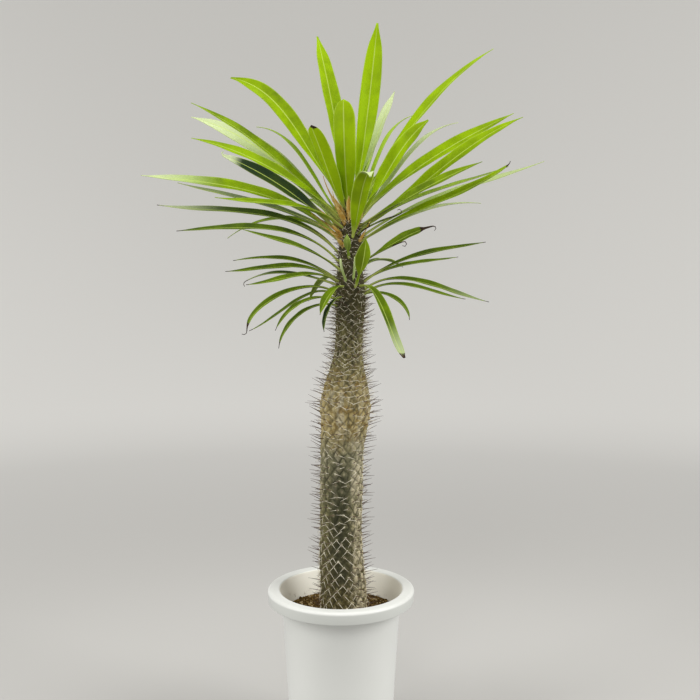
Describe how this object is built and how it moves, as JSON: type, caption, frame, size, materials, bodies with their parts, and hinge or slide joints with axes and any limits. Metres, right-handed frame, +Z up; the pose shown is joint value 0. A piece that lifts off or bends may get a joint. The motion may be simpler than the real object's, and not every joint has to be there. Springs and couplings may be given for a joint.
{
  "type": "potted madagascar palm",
  "caption": "Potted succulent with a spiny, swollen stem and a crown of long narrow leaves, standing in a tapered white pot with a rolled rim.",
  "frame": {"origin": "middle of the pot's underside, on the surface that the pot stands on", "axes": "+Z up along the stem, +X to the right in the picture, -Y towards the picture's camera"},
  "size_m": [0.6314, 0.4238, 1.1722],
  "materials": {
    "pot_white": "satin",
    "soil_brown": "matte",
    "stem_grey": "matte",
    "leaf_green": "satin"
  },
  "bodies": {
    "root": {"leaf_back_01": "leaf_green", "leaf_back_02": "leaf_green", "leaf_back_03": "leaf_green", "leaf_back_04": "leaf_green", "leaf_back_05": "leaf_green", "leaf_back_06": "leaf_green", "leaf_back_07": "leaf_green", "leaf_front_01": "leaf_green", "leaf_front_02": "leaf_green", "leaf_left_01": "leaf_green", "leaf_left_02": "leaf_green", "leaf_left_03": "leaf_green", "leaf_left_04": "leaf_green", "leaf_left_05": "leaf_green", "leaf_left_06": "leaf_green", "leaf_left_07": "leaf_green", "leaf_left_08": "leaf_green", "leaf_left_09": "leaf_green", "leaf_left_10": "leaf_green", "leaf_left_11": "leaf_green", "leaf_left_12": "leaf_green", "leaf_left_13": "leaf_green", "leaf_left_14": "leaf_green", "leaf_left_15": "leaf_green", "leaf_left_16": "leaf_green", "leaf_left_17": "leaf_green", "leaf_left_18": "leaf_green", "leaf_left_19": "leaf_green", "leaf_left_20": "leaf_green", "leaf_left_21": "leaf_green", "leaf_right_01": "leaf_green", "leaf_right_02": "leaf_green", "leaf_right_03": "leaf_green", "leaf_right_04": "leaf_green", "leaf_right_05": "leaf_green", "leaf_right_06": "leaf_green", "leaf_right_07": "leaf_green", "leaf_right_08": "leaf_green", "leaf_right_09": "leaf_green", "leaf_right_10": "leaf_green", "leaf_right_11": "leaf_green", "leaf_right_12": "leaf_green", "leaf_right_13": "leaf_green", "leaf_right_14": "leaf_green", "leaf_top_01": "leaf_green", "leaf_top_02": "leaf_green", "leaf_top_03": "leaf_green", "leaf_top_04": "leaf_green", "leaf_top_05": "leaf_green", "leaf_top_06": "leaf_green", "leaf_top_07": "leaf_green", "leaf_top_08": "leaf_green", "leaf_top_09": "leaf_green", "leaf_top_10": "leaf_green", "leaf_top_11": "leaf_green", "leaf_top_12": "leaf_green", "leaf_top_13": "leaf_green", "pot": "pot_white", "soil": "soil_brown", "stem": "stem_grey"}
  },
  "joints": []
}
